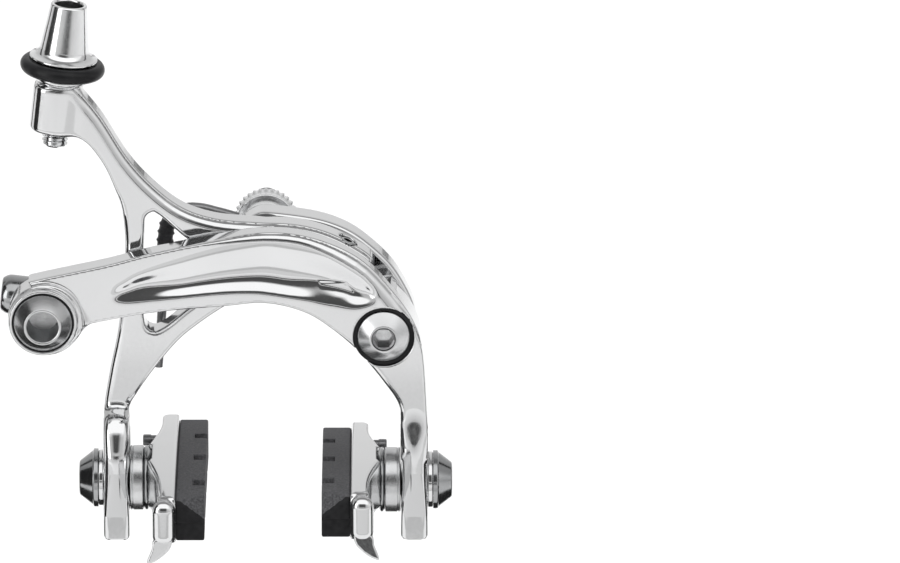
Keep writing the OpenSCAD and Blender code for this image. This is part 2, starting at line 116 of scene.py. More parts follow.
# ------------------------------------ outlines and fields
def smooth(points, steps=8):
    """A Catmull-Rom curve through the points."""
    p = np.array(points, float)
    ends = len(p) - 1
    t = np.linspace(0, 1, steps, endpoint=False)[:, None]
    out = []
    for i in range(ends):
        a, b, c, d = p[max(i - 1, 0)], p[i], p[i + 1], p[min(i + 2, ends)]
        out.append(
            0.5 * (2 * b + (c - a) * t + (2 * a - 5 * b + 4 * c - d) * t**2
                   + (3 * b - a - 3 * c + d) * t**3)
        )
    return np.vstack(out + [p[-1:]])


def ease(value, start, end):
    t = np.clip((value - start) / (end - start), 0, 1)
    return t * t * (3 - 2 * t)


def outline(points):
    """Signed distance to a closed outline in x and z, negative inside, as a function."""
    a = np.array(points, float)
    b = np.roll(a, -1, axis=0)

    def distance(x, z):
        x, z = np.broadcast_arrays(x, z)
        nearest = np.full(x.shape, np.inf)
        inside = np.zeros(x.shape, bool)
        for (ax, az), (bx, bz) in zip(a, b):
            ex, ez = bx - ax, bz - az
            length = ex * ex + ez * ez
            if length < 1e-12:
                continue
            t = np.clip(((x - ax) * ex + (z - az) * ez) / length, 0, 1)
            nearest = np.minimum(nearest, (x - ax - t * ex) ** 2 + (z - az - t * ez) ** 2)
            if az != bz:
                crosses = (az > z) != (bz > z)
                inside ^= crosses & (x < ax + (z - az) * ex / ez)
        return np.where(inside, -1, 1) * np.sqrt(nearest)

    return distance


def along(path):
    """Nearest place on an open path: how far along it (0 to 1) and how far off it."""
    p = np.array(path, float)
    run = np.concatenate([[0], np.cumsum(np.linalg.norm(np.diff(p, axis=0), axis=1))])
    run /= run[-1]

    def nearest(x, z):
        x, z = np.broadcast_arrays(x, z)
        best, place = np.full(x.shape, np.inf), np.zeros(x.shape)
        for i in range(len(p) - 1):
            ex, ez = p[i + 1] - p[i]
            t = np.clip(((x - p[i][0]) * ex + (z - p[i][1]) * ez) / (ex * ex + ez * ez), 0, 1)
            d = (x - p[i][0] - t * ex) ** 2 + (z - p[i][1] - t * ez) ** 2
            closer = d < best
            best = np.where(closer, d, best)
            place = np.where(closer, run[i] + t * (run[i + 1] - run[i]), place)
        return place, np.sqrt(best)

    return nearest


def join(a, b, k):
    """Union of two fields with a fillet of about k."""
    h = np.maximum(k - np.abs(a - b), 0) / k
    return np.minimum(a, b) - h * h * k / 4


def cut(a, b, k):
    """Field a without field b, with edges rounded by about k."""
    h = np.maximum(k - np.abs(a + b), 0) / k
    return np.maximum(a, -b) + h * h * k / 4


def rounded(a, b, r):
    """Intersection of two fields with a true radius of r along the edge."""
    a, b = a + r, b + r
    return np.minimum(np.maximum(a, b), 0) + np.hypot(np.maximum(a, 0), np.maximum(b, 0)) - r


def slab(value, start, end):
    return np.abs(value - (start + end) / 2) - (end - start) / 2


def round_bar(across, up, r, value, start, end, edge):
    """A cylinder of radius r between two places along its axis."""
    return rounded(np.hypot(across, up) - r, slab(value, start, end), edge)


def block(x, y, z, spans, plan, edge):
    """A box whose upright corners have radius plan and whose other edges have radius edge."""
    upright = rounded(slab(x, *spans[0]), slab(y, *spans[1]), plan)
    return rounded(upright, slab(z, *spans[2]), edge)


def mesh_field(name, field, corners, voxel=0.3):
    """Meshes the surface where field(x, y, z) is 0, then moves each vertex onto it exactly."""
    start = np.array(corners[0], float) - 3 * voxel
    count = np.ceil((np.array(corners[1], float) + 3 * voxel - start) / voxel).astype(int) + 1
    x, y, z = (start[i] + voxel * np.arange(count[i]) for i in range(3))
    values = field(x[:, None, None], y[None, :, None], z[None, None, :])
    values = np.clip(np.broadcast_to(values, count) / voxel, -3, 3).astype(np.float32)
    grid = openvdb.FloatGrid(background=3.0)
    grid.copyFromArray(np.ascontiguousarray(values))
    points, quads = grid.convertToQuads(isovalue=0.0)
    p = points.astype(float) * voxel + start
    tetra = np.array([[1, -1, -1], [-1, -1, 1], [-1, 1, -1], [1, 1, 1]], float)
    step = 0.04
    for _ in range(3):
        samples = [field(*(p + step * t).T) for t in tetra]
        slope = sum(t[None, :] * s[:, None] for t, s in zip(tetra, samples)) / (4 * step)
        size = np.linalg.norm(slope, axis=1, keepdims=True)
        move = np.mean(samples, axis=0)[:, None] * slope / np.maximum(size, 0.3) ** 2
        p -= np.clip(move, -voxel / 2, voxel / 2)
    normals = slope / np.maximum(size, 1e-9)
    corner = p[quads]
    facing = np.cross(corner[:, 2] - corner[:, 0], corner[:, 3] - corner[:, 1])
    if (facing * normals[quads].mean(axis=1)).sum() < 0:
        quads = quads[:, ::-1]
    return make_mesh(name, p, quads, normals)


def make_mesh(name, points, faces, normals=None):
    mesh = bpy.data.meshes.new(name)
    mesh.from_pydata((np.asarray(points) * MM).tolist(), [], np.asarray(faces).tolist())
    mesh.validate()
    mesh.polygons.foreach_set("use_smooth", [True] * len(mesh.polygons))
    if normals is not None:
        mesh.normals_split_custom_set_from_vertices(np.asarray(normals).tolist())
    return mesh


def place(mesh, matrix=None):
    piece = bpy.data.objects.new(mesh.name, mesh)
    bpy.context.scene.collection.objects.link(piece)
    if matrix is not None:
        piece.matrix_world = matrix
    return piece


def finish_piece(piece, body, slot, material, *nodes):
    piece.data.materials.clear()
    piece.data.materials.append(material)
    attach(piece, body)
    if nodes:
        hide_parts(*nodes)
    return piece


def paint_shade_faces(piece, material, chosen):
    """Gives the faces for which chosen(face) is true a second, darker material, as painted shade."""
    piece.data.materials.append(material)
    for face in piece.data.polygons:
        if chosen(face):
            face.material_index = 1


def inside_bore(radius, low_height, high_height):
    """Chooses the faces of a turned piece that lie within a radius, between two heights."""
    def chosen(face):
        x, y, z = face.center / MM
        return math.hypot(x, y) < radius and low_height < z < high_height
    return chosen


# ------------------------------------ turned pieces
def fillet(profile, default):
    """Rounds the corners of a profile of (radius, height) or (radius, height, corner) points."""
    def spot(point):
        radius = point[0](0.0) if callable(point[0]) else point[0]
        return np.array([radius, point[1]], float)

    out = []
    for i, point in enumerate(profile):
        r = point[2] if len(point) > 2 else default
        if i in (0, len(profile) - 1) or r <= 0 or callable(point[0]):
            out.append(point[:2])
            continue
        here = spot(point)
        before, after = spot(profile[i - 1]) - here, spot(profile[i + 1]) - here
        lb, la = np.linalg.norm(before), np.linalg.norm(after)
        reach = min(r, lb * 0.45, la * 0.45)
        a, b = here + before / lb * reach, here + after / la * reach
        for t in np.linspace(0, 1, 5):
            out.append(tuple((1 - t) ** 2 * a + 2 * t * (1 - t) * here + t * t * b))
    return out


def hexagon(across_flats):
    """Radius of a hexagon at each angle."""
    def radius(angle):
        return across_flats / 2 / np.cos(np.mod(angle, math.pi / 3) - math.pi / 6)
    return radius


def turned(name, profile, around=120, corner=0.12, shape=None, sharp=35):
    """Turns a profile about Z. A radius may be a function of the angle."""
    rings = fillet(profile, corner)
    angle = np.arange(around) * 2 * math.pi / around
    points, faces = [], []
    for radius, height in rings:
        r = radius(angle) if callable(radius) else np.full(around, float(radius))
        if shape is not None:
            r = shape(r, angle, height)
        points.append(np.stack([r * np.cos(angle), r * np.sin(angle), np.full(around, height)], 1))
    for i in range(len(rings) - 1):
        for k in range(around):
            n = (k + 1) % around
            faces.append([i * around + k, i * around + n, (i + 1) * around + n, (i + 1) * around + k])
    mesh = bpy.data.meshes.new(name)
    mesh.from_pydata((np.vstack(points) * MM).tolist(), [], faces)
    weld(mesh)
    mesh.polygons.foreach_set("use_smooth", [True] * len(mesh.polygons))
    mesh.set_sharp_from_angle(angle=math.radians(sharp))
    return mesh


def weld(mesh):
    """Joins points that lie together, drops faces with no area and turns faces outwards."""
    bm = bmesh.new()
    bm.from_mesh(mesh)
    bmesh.ops.remove_doubles(bm, verts=bm.verts, dist=1e-7)
    bmesh.ops.dissolve_degenerate(bm, edges=bm.edges, dist=1e-8)
    bmesh.ops.recalc_face_normals(bm, faces=bm.faces)
    bm.to_mesh(mesh)
    bm.free()


def axis_frame(origin, direction):
    """A frame at origin (mm) whose Z lies along direction."""
    turn = Vector(direction).to_track_quat("Z", "Y").to_matrix().to_4x4()
    return Matrix.Translation(Vector(origin) * MM) @ turn


# ------------------------------------ materials
def material(name, colour, metallic, roughness, **extra):
    """A node material whose colour and roughness vary with two scales of noise, with fine bump."""
    m = bpy.data.materials.new(name)
    m.use_nodes = True
    nodes, links = m.node_tree.nodes, m.node_tree.links
    shader = nodes["Principled BSDF"]
    shader.inputs["Metallic"].default_value = metallic
    for socket, value in extra.get("sockets", {}).items():
        shader.inputs[socket].default_value = value
    where = nodes.new("ShaderNodeTexCoord")
    stretch = nodes.new("ShaderNodeMapping")
    stretch.inputs["Scale"].default_value = extra.get("stretch", (1, 1, 1))
    links.new(where.outputs["Object"], stretch.inputs["Vector"])

    def noise(scale, detail=3.0):
        n = nodes.new("ShaderNodeTexNoise")
        n.inputs["Scale"].default_value = scale
        n.inputs["Detail"].default_value = detail
        links.new(stretch.outputs["Vector"], n.inputs["Vector"])
        return n.outputs["Fac"]

    def ranged(source, low_out, high_out, low_in=0.3, high_in=0.7):
        r = nodes.new("ShaderNodeMapRange")
        for socket, value in zip(("From Min", "From Max", "To Min", "To Max"),
                                 (low_in, high_in, low_out, high_out)):
            r.inputs[socket].default_value = value
        links.new(source, r.inputs["Value"])
        return r.outputs["Result"]

    tint = nodes.new("ShaderNodeMix")
    tint.data_type = "RGBA"
    tint.inputs["A"].default_value = (*colour[0], 1)
    tint.inputs["B"].default_value = (*colour[1], 1)
    links.new(ranged(noise(extra.get("patch", 60.0)), 0, 1), tint.inputs["Factor"])
    links.new(tint.outputs["Result"], shader.inputs["Base Color"])
    links.new(ranged(noise(extra.get("grain", 900.0)), *roughness), shader.inputs["Roughness"])
    bump = nodes.new("ShaderNodeBump")
    bump.inputs["Strength"].default_value = extra.get("bump", 0.05)
    bump.inputs["Distance"].default_value = extra.get("depth", 0.00005)
    links.new(noise(extra.get("bump_scale", 2500.0), 4.0), bump.inputs["Height"])
    links.new(bump.outputs["Normal"], shader.inputs["Normal"])
    return m


def radial_tangent(m):
    """Gives a turned metal the streaks of fine concentric tool marks."""
    nodes, links = m.node_tree.nodes, m.node_tree.links
    tangent = nodes.new("ShaderNodeTangent")
    tangent.direction_type = "RADIAL"
    tangent.axis = "Z"
    links.new(tangent.outputs["Tangent"], nodes["Principled BSDF"].inputs["Tangent"])
    return m


POLISHED = material("polished_alloy", ((0.7, 0.703, 0.708), (0.75, 0.753, 0.758)), 1.0, (0.06, 0.11),
                    patch=40, grain=1400, bump=0.03, bump_scale=1200, depth=0.00003)
SATIN = material("satin_alloy", ((0.78, 0.785, 0.79), (0.84, 0.845, 0.85)), 1.0, (0.16, 0.24),
                 patch=80, grain=2500, bump=0.06)
TURNED = radial_tangent(material(
    "turned_alloy", ((0.56, 0.565, 0.57), (0.66, 0.665, 0.67)), 1.0, (0.17, 0.27), patch=200,
    grain=3000, bump=0.05, sockets={"Anisotropic": 0.75}))
GUNMETAL = radial_tangent(material(
    "polished_steel", ((0.34, 0.345, 0.35), (0.42, 0.425, 0.43)), 1.0, (0.1, 0.18), patch=150,
    grain=2500, bump=0.04, sockets={"Anisotropic": 0.5}))
STEEL = material("dark_steel", ((0.2, 0.2, 0.205), (0.3, 0.3, 0.305)), 1.0, (0.28, 0.42), patch=120,
                 grain=2500, bump=0.08)
BRONZE = material("bearing_bronze", ((0.5, 0.33, 0.13), (0.62, 0.43, 0.19)), 1.0, (0.3, 0.45),
                  patch=120)
RUBBER = material("black_rubber", ((0.006, 0.006, 0.007), (0.016, 0.016, 0.017)), 0.0, (0.28, 0.42),
                  patch=300, grain=1500, bump=0.08, sockets={"Specular IOR Level": 0.22})
PLASTIC = material("black_plastic", ((0.03, 0.03, 0.033), (0.06, 0.06, 0.064)), 0.0, (0.4, 0.55),
                   patch=300)
# Painted shade: a darker rubber for the pad's grooves and front end, where shade falls.
PAD_PAINTED_SHADE = material("pad_painted_shade", ((0.006, 0.006, 0.007), (0.016, 0.016, 0.017)), 0.0, (0.5, 0.7),
                    patch=900, grain=1800, bump=0.1, sockets={"Specular IOR Level": 0.2})
PAD = material("pad_rubber", ((0.025, 0.025, 0.028), (0.1, 0.1, 0.105)), 0.0, (0.6, 0.85),
               patch=2600, grain=2600, bump=0.35, bump_scale=2200, depth=0.0002)


# ------------------------------------ front arm
FRONT_ARM_UPPER = smooth([
    (-45.4, -4.85), (-42.3, -4.1), (-38.9, -3.35), (-30, -1.4), (-22.2, 0.7), (-10.4, 3.2),
    (-0.1, 4.75), (8.9, 3.7),
    (18.1, -0.7), (24.8, -7.8), (28.8, -14), (30.3, -19.9), (31.0, -30.9), (31.2, -35.5)])
to_upper_edge = along(FRONT_ARM_UPPER[::2])
FRONT_ARM = outline(np.vstack([
    FRONT_ARM_UPPER,
    [(31.2, -41), (25.9, -41)],
    smooth([(25.9, -34.5), (25.9, -32.2), (25.3, -29.4), (22.8, -25.6), (18, -19.5),
            (13, -14.6), (7.4, -11), (0, -9.2), (-7.8, -9.8), (-22.2, -11.2), (-37, -14)]),
]))
DEEP_PART = outline(np.vstack([
    [(10.4, -5.35), (15.6, -5.35), (17.6, -7.6), (21, -8.2), (24.3, -7.6)],
    smooth([(25.2, -8.4), (28.8, -14), (30.3, -19.9), (31.0, -30.9), (31.2, -35.5)]),
    [(31.2, -41), (25.9, -41)],
    smooth([(25.9, -34.5), (25.9, -32.2), (25.3, -29.4), (22.8, -25.6), (18, -19.5),
            (13.4, -14.9)]),
    [(10.4, -12)],
]))
# The scoop in the front face lies between an upper line, which runs round its right end, and a
# lower lip. It is gentle above and steep towards the lip.
SCOOP_TOP = smooth([(-29.3, -7.5), (-28.6, -6.1), (-27.0, -4.9), (-24.6, -3.3), (-18.9, -0.9),
                    (-11.5, 1.6), (-4.1, 3.4), (0.7, 4.1), (6.2, 3.2), (11.7, 1.3), (15.4, -0.6),
                    (19.1, -3.3), (21.0, -5.8), (21.6, -7.6), (21.1, -8.9)], 4)
SCOOP_LIP = smooth([(-29.3, -7.5), (-28.8, -8.6), (-26.2, -9.0), (-21.6, -8.45), (-15.2, -7.6),
                    (-7.8, -6.9), (-2.3, -6.8), (0.7, -7.1), (4.4, -7.7), (8.5, -8.5), (12.1, -9.6),
                    (16.3, -10.5), (19.1, -10.0), (21.1, -8.9)], 4)
SCOOP_STEEPNESS = 0.2
SCOOP_DEEPEST = 2.2
scoop_region = outline(np.vstack([SCOOP_TOP, SCOOP_LIP[::-1]]))
to_scoop_top = along(SCOOP_TOP)
to_scoop_lip = along(SCOOP_LIP)


def soft_map(depth, x_span, z_span, step, reach):
    """depth(x, z) taken on a fine grid and blurred over a distance, as a function."""
    xs, zs = np.arange(*x_span, step), np.arange(*z_span, step)
    values = depth(xs[:, None], zs[None, :])
    off = np.arange(-3 * reach, 3 * reach + step / 2, step)
    weights = np.exp(-(off / reach) ** 2 / 2)
    for axis in (0, 1):
        values = np.apply_along_axis(np.convolve, axis, values, weights / weights.sum(), "same")

    def at(x, z):
        x, z = np.broadcast_arrays(x, z)
        i = np.clip((x - xs[0]) / step, 0, len(xs) - 1.001)
        k = np.clip((z - zs[0]) / step, 0, len(zs) - 1.001)
        a, b = i.astype(int), k.astype(int)
        i, k = i - a, k - b
        lower = values[a, b] * (1 - i) + values[a + 1, b] * i
        upper = values[a, b + 1] * (1 - i) + values[a + 1, b + 1] * i
        return lower * (1 - k) + upper * k

    return at


def scoop_shape(x, z):
    inside = scoop_region(x, z) < 0
    top, lip = to_scoop_top(x, z)[1], to_scoop_lip(x, z)[1]
    below = ~inside & (lip < top)
    lip = np.where(below, -lip, lip)
    width = np.maximum(top + lip, 0.3)
    t = np.where(inside | below, top / width, 0.0)
    # The deepest line runs near the lip, and nearer the middle at both ends
    bowl = ease(x, 3.0, 17.0)
    valley = 0.46 + 0.26 * ease(x, -27.0, -15.0) - 0.14 * bowl
    power = 1.1 + 0.6 * ease(x, -27.0, -14.0)
    falling = (1 - np.cos(np.pi * np.clip(t / valley, 0, 1))) / 2
    rise = np.clip((t - valley) / (1 - valley), 0, 1.6)
    round_climb = 1 - np.sin(np.pi / 2 * np.minimum(rise, 1))
    climbing = (1 - bowl) * (1 - rise**power) + bowl * round_climb
    shape = np.where(t < valley, falling, climbing) * ease(lip, -1.5, -0.1)
    most = SCOOP_DEEPEST * np.tanh(SCOOP_STEEPNESS * (1 + 0.5 * bowl) * width / SCOOP_DEEPEST)
    return np.maximum(shape * most, 0)


scoop_depth = soft_map(scoop_shape, (-33, 26), (-14, 8), 0.06, 0.42)


def slotted(arm, x, y, z, sign):
    """An arm with the slot for its pad's stud, on the side of x that sign gives."""
    up = np.maximum(slab(z, SLOT_LOW, SLOT_HIGH), 0)
    slot = np.hypot(y - STUD_Y, up) - SLOT_HALF
    return cut(arm, np.maximum(slot, CLEAR_OF_MIDDLE - sign * x), 0.4)


FOOT_SIDE = outline(np.vstack([
    [(-6.68, FOOT_BOTTOM), (-6.98, FOOT_BOTTOM + 4.8), (-7, FOOT_BOTTOM + 8)],
    smooth([(-7, -43.5), (-6.85, -41.0), (-6.45, -38.9), (-5.8, -37.0), (-4.9, -35.2),
            (-3.7, -33.7), (-2.1, -32.6), (0, -32.2), (2.1, -32.6), (3.7, -33.7), (4.9, -35.2),
            (5.8, -37.0), (6.45, -38.9), (6.85, -41.0), (7, -43.5)]),
    [(7, FOOT_BOTTOM + 8), (6.98, FOOT_BOTTOM + 4.8), (6.68, FOOT_BOTTOM)],
]))


def foot(x, y, z, span, rise):
    """The deep lower end of an arm, rounded over its top and crowned across its upper half."""
    middle, half = (span[0] + span[1]) / 2, (span[1] - span[0]) / 2
    bow = (0.65 + 0.6 * ease(z, -34.0, -41.0)) * ease(z, -55.0, -43.0)
    crown = bow * np.minimum(((x - middle) / half) ** 2, 1)
    side = FOOT_SIDE(y - STUD_Y, np.minimum(z, -44 + (z + 44) / rise)) + crown
    return rounded(side, slab(x, *span), 1.1)


def with_foot(arm, shape, x, y, z, span, k, rise=1.0):
    """An arm joined to its foot with a fillet that leaves the outline seen from the front."""
    seen = join(shape, np.maximum(slab(x, *span), z - FOOT_TOP), 0.3)
    whole = join(arm, foot(x, y, z, span, rise), k)
    # Room for the washers beside the arm when the pad is at the top of its slot
    washer_room = np.minimum(slab(x, *span), WASHERS_TOP - z)
    return np.maximum(np.maximum(whole, seen), washer_room)


def roll(off_edge, radius):
    """How far a face falls back as it rolls over towards an edge."""
    short = np.clip(radius - off_edge, 0, radius * 0.88)
    return radius - np.sqrt(radius**2 - short**2)


def front_arm_field(x, y, z):
    shape = FRONT_ARM(x, z)
    lower = ease(z, -14.0, -20.0) * ease(x, 29.5, 26.5)
    edge = 0.45 + 0.85 * lower
    shoulder = 0.3 + 1.5 * ease(x, -16.0, 2.0) + 1.2 * ease(x, 6.0, 18.0)
    shoulder = 0.3 + (shoulder - 0.3) * ease(z, -20.0, -9.0)
    face = ARM_FRONT + scoop_depth(x, z) + roll(to_upper_edge(x, z)[1], shoulder)
    body = rounded(shape, slab(y, face, ARM_BACK), edge)
    deep = rounded(DEEP_PART(x, z), slab(y, ARM_FRONT + 1.5, DEEP_BACK), 0.4)
    whole = join(body, deep, 0.4)
    whole = with_foot(whole, shape, x, y, z, RIGHT_FOOT, 1.2, 1.36)
    step = round_bar(x - ANCHOR_X - 0.35, z - ANCHOR_Z, ANCHOR_STEP_R, y, ARM_FRONT - 1.3,
                     ARM_BACK, 0.4)
    whole = join(whole, step, 0.5 + 3.0 * ease(z, ANCHOR_Z + 3.0, ANCHOR_Z - 4.0))
    boss = round_bar(x - ANCHOR_X, z - ANCHOR_Z, ANCHOR_BOSS_R, y, BOSS_FRONT, ARM_BACK, 0.35)
    whole = join(whole, boss, 0.5)
    reach = np.hypot(x - SIDE_X, z - SIDE_Z)
    pocket = np.maximum(reach - HEAD_POCKET_R, y - (ARM_FRONT + HEAD_POCKET_DEPTH))
    whole = cut(cut(whole, pocket, 0.3), reach - SIDE_BUSH_R, 0.25)
    pin = np.hypot(x - ANCHOR_X, z - ANCHOR_Z)
    pocket = np.maximum(pin - PIN_POCKET_R, y - (BOSS_FRONT + PIN_POCKET_DEPTH))
    whole = cut(cut(whole, pocket, 0.25), pin - PIN_HOLE_R, 0.25)
    return slotted(whole, x, y, z, 1)


# ------------------------------------ rear arm
REAR_ARM_UPPER = smooth([
    (-36.2, 32.4), (-31.4, 26.4), (-26.3, 18), (-21.3, 12.2), (-15.8, 7.9), (-9.5, 5.7),
    (-2, 4.95), (5, 4.6), (10, 3.6), (14.5, 1.8), (18.9, -0.8), (20.6, -2.6), (19.6, -4.3)])
to_rear_upper_edge = along(REAR_ARM_UPPER[::2])
REAR_ARM = outline(np.vstack([
    REAR_ARM_UPPER,
    smooth([(15, -3.5), (9.5, -4.9), (4, -7), (-2, -8.7), (-7.7, -11.6), (-13.4, -15.6),
            (-17.4, -19.2), (-22.2, -25.3), (-25.3, -30), (-26.3, -32.2), (-26.3, -33.5)]),
    smooth([(-31.3, -34.5), (-31.1, -31), (-29.9, -24), (-28.4, -16.5), (-27.3, -7), (-26.9, 1.5),
            (-27.5, 8), (-28.8, 12.2), (-30.4, 16.1), (-32.3, 19.2), (-34.2, 21.4), (-36.6, 22.8)]),
    [(-40, 23.6), (-40, 32)],
]))
WINDOW = outline(smooth([
    (-21.4, 7.4), (-19.6, 6.1), (-15.4, 2.2), (-10.5, -1.5), (-7.8, -4.6), (-10.5, -8.6),
    (-15.4, -12.6), (-19.4, -15.9), (-21.7, -16.7), (-23.3, -14.6), (-23.5, -6), (-23.2, 2),
    (-22.9, 6.2), (-21.4, 7.4)]))


def along_axis(x, y, z, origin, axis):
    """Height along an axis in the XZ plane, and the two distances across it."""
    dx, dz = x - origin[0], z - origin[2]
    return dx * axis[0] + dz * axis[2], dx * axis[2] - dz * axis[0], y - origin[1]


def rear_arm_field(x, y, z):
    shape = REAR_ARM(x, z)
    leg = ease(z, 14.0, 6.0) * ease(x, -25.0, -26.6)
    edge = 0.6 + 0.8 * leg
    rolled = REAR_FRONT + roll(to_rear_upper_edge(x, z)[1], 2.2)
    body = rounded(shape, slab(y, rolled, REAR_BACK), edge)
    gap = rounded(WINDOW(x, z) * -1, slab(y, REAR_FRONT, REAR_BACK), 0.9)
    body = np.maximum(body, gap)
    body = with_foot(body, shape, x, y, z, LEFT_FOOT, 1.6)
    up, across, deep = along_axis(x, y, z, ADJUSTER, ADJUSTER_AXIS)
    boss = block(across + 0.9, deep, up, [(-4.2, 4.0), (-4.1, 4.1), (2.9, 12.5)], 3.4, 1.1)
    body = join(body, boss, 2.6)
    body = cut(body, np.hypot(across, deep) - ADJUSTER_HOLE_R, 0.2)
    body = cut(body, np.hypot(x, z) - CENTRE_BUSH_R, 0.2)
    up, across, deep = along_axis(x, y, z, SCREW_BALL, SCREW_AXIS)
    hole = np.hypot(across, deep)
    body = cut(body, hole - SCREW_HOLE_R, 0.2)
    body = cut(body, np.maximum(hole - SCREW_MOUTH_R, 3.9 - up), 0.3)
    return slotted(body, x, y, z, -1)


# ------------------------------------ bridge
BRIDGE = outline(np.vstack([
    smooth([(-5.2, 0), (-4.4, 2.9), (-1.6, 4.95), (1.25, 5.15), (8.9, 4.1), (14.1, 2.5), (18.4, 0),
            (23.6, -4.8), (26.8, -9.7), (28.8, -14.6), (28.7, -18.2), (26.4, -21.2),
            (22.4, -22.1), (18.4, -20.2)]),
    smooth([(14.3, -14.9), (9.2, -9.4), (3.5, -6.3), (-1.6, -5.3), (-4.5, -3.1)]),
]))


def bridge_field(x, y, z):
    body = rounded(BRIDGE(x, z), slab(y, BRIDGE_FRONT, BRIDGE_BACK), 0.9)
    body = cut(body, np.hypot(x, z) - PIVOT_HOLE_R, 0.2)
    return cut(body, np.hypot(x - SIDE_X, z - SIDE_Z) - PIVOT_HOLE_R, 0.2)


# ------------------------------------ pads, drawn on the +X side
PAD_LENGTH, PAD_HEIGHT, PAD_T, PAD_LIFT, RIM_R = 48.0, 8.0, 5.5, 0.4, 310.0
HOLDER_T, NOSE_T = 3.5, 2.6
SCREW_AT = (11.5, 3.6)


def from_rim(y, z):
    """Height above the arc that the pad's middle follows, y and z measured from the stud."""
    return np.hypot(y, z + RIM_R) - RIM_R - PAD_LIFT


def holder_field(x, y, z):
    """x is 0 at the rubber's back. The holder's side flares into a boss round the stud."""
    up = from_rim(y, z)
    half = PAD_LENGTH / 2
    off_stud = np.hypot(y, z)
    flare = HOLDER_T + 2.3 * np.clip(1 - (off_stud - 6.9) / 13.5, 0, 1) ** 1.9
    plan = rounded(slab(y, -half - 0.3, half + 0.8), (x - flare) * 0.85, 1.3)
    plate = rounded(np.maximum(plan, -x), slab(up, -PAD_HEIGHT / 2 - 0.4, PAD_HEIGHT / 2 + 1.0), 0.9)
    whole = np.maximum(plate, np.minimum(x - 4.95, 6.75 - off_stud))
    finger = block(x, y + 0.06 * (up - 4), up, [(0.1, 4.5), (-half - NOSE_T - 0.1, -half + 0.6),
                              (-PAD_HEIGHT / 2 - 0.6, PAD_HEIGHT / 2 + 0.8)], 1.9, 2.3)
    whole = join(whole, finger, 0.8)
    whole = cut(whole, np.maximum(off_stud - STUD_HOLE_R, 1.0 - x), 0.25)
    return cut(whole, np.maximum(np.hypot(y - SCREW_AT[0], z - SCREW_AT[1]) - 1.0, 1.9 - x), 0.1)


WING = outline(smooth([(0.6, -3.6), (4.0, -3.6), (4.6, -5.6), (5.5, -8.1), (4.2, -7.9),
                       (2.4, -6.7), (1.0, -5.2), (0.6, -3.6)], 6))


def wing_field(x, y, z):
    half = PAD_LENGTH / 2
    lean = (z + 4) * 0.12
    return rounded(WING(x, z), slab(y - lean, -half - 1.9, -half - 0.7), 0.3)


GROOVES = (-14.4, -0.8, 12.4)


def rubber_field(x, y, z):
    """x is 0 at the rubber's back and grows away from the rim."""
    up = from_rim(y, z)
    half = PAD_LENGTH / 2
    body = rounded(rounded(slab(up, -PAD_HEIGHT / 2, PAD_HEIGHT / 2), slab(y, -half, half), 0.35),
                   slab(x, -PAD_T, -0.02), 0.3)
    for g in GROOVES:
        body = cut(body, np.maximum(slab(y, g - 1.35, g + 1.35), x + PAD_T - 2.4), 0.2)
    # The front end is cut back: slanted above, more so towards the rim, and by a step below
    slant = y + half - 0.75 * (up - 3.9 - 0.78 * x)
    body = cut(body, slant, 0.3)
    return cut(body, np.maximum(y + half - 0.4, up + 0.35), 0.15)


PADS = {
    "left": {"rubber_x": 17.1, "height": pivot("left_pad_pitch")[2], "pitch": 0.0, "sign": -1},
    "right": {"rubber_x": 16.3, "height": pivot("right_pad_pitch")[2], "pitch": 3.0, "sign": 1},
}


def pad_frame(side):
    """Takes the shared pad meshes, drawn with x = 0 at the rubber's back, to their side."""
    p = PADS[side]
    lean = Matrix.Rotation(math.radians(-p["pitch"]), 4, "X")
    at = Matrix.Translation(Vector((p["rubber_x"], 0, 0)) * MM)
    up = Matrix.Translation(Vector((0, STUD_Y, p["height"])) * MM)
    flip = Matrix.Scale(-1, 4, Vector((1, 0, 0))) if p["sign"] < 0 else Matrix.Identity(4)
    return flip @ up @ lean @ at


def placed_copy(mesh, name, matrix):
    """A copy of a mesh with the matrix applied, turned right side out if it mirrors."""
    points = np.array([v.co for v in mesh.vertices]) / MM
    turn = np.array(matrix.to_3x3())
    shift = np.array(matrix.translation) / MM
    faces = np.array([list(f.vertices) for f in mesh.polygons])
    normals = np.zeros((len(mesh.vertices), 3))
    loops = np.array([list(n.vector) for n in mesh.corner_normals])
    normals[faces.ravel()] = loops
    if matrix.determinant() < 0:
        faces = faces[:, ::-1]
    return make_mesh(name, points @ turn.T + shift, faces, normals @ turn.T)


def build_pads():
    half = PAD_LENGTH / 2
    low_z, high_z = -PAD_HEIGHT, PAD_HEIGHT
    holder = mesh_field("holder", holder_field,
                        [(-0.2, -half - 3.2, low_z), (5.4, half + 1.4, high_z)], 0.25)
    wing = mesh_field("wing", wing_field, [(0, -half - 3, -9), (6, -half + 0.4, -3)], 0.2)
    rubber = mesh_field("rubber", rubber_field,
                        [(-PAD_T, -half, low_z), (0.1, half, high_z)], 0.25)
    for side in PADS:
        m = pad_frame(side)
        body = f"{side}_pad"
        shell = placed_copy(holder, f"{side}_holder_shell", m)
        finish_piece(place(shell), body, "polished_alloy", POLISHED, f"{side}_pad_holder")
        fin = placed_copy(wing, f"{side}_holder_wing", m)
        finish_piece(place(fin), body, "polished_alloy", POLISHED)
        moulded = place(placed_copy(rubber, f"{side}_rubber_block", m))
        finish_piece(moulded, body, "pad_rubber", PAD, f"{side}_brake_pad")
        local = m.inverted()

        # Faces in the grooves and on the front end get the darker rubber as painted shade.
        def is_painted_shade(face):
            x, y, z = (local @ face.center) / MM
            in_groove = min(abs(y - g) for g in GROOVES) < 1.3 and x < -PAD_T + 2.38
            return in_groove or y < -half + 0.55

        paint_shade_faces(moulded, PAD_PAINTED_SHADE, is_painted_shade)
    for mesh in (holder, wing, rubber):
        bpy.data.meshes.remove(mesh)


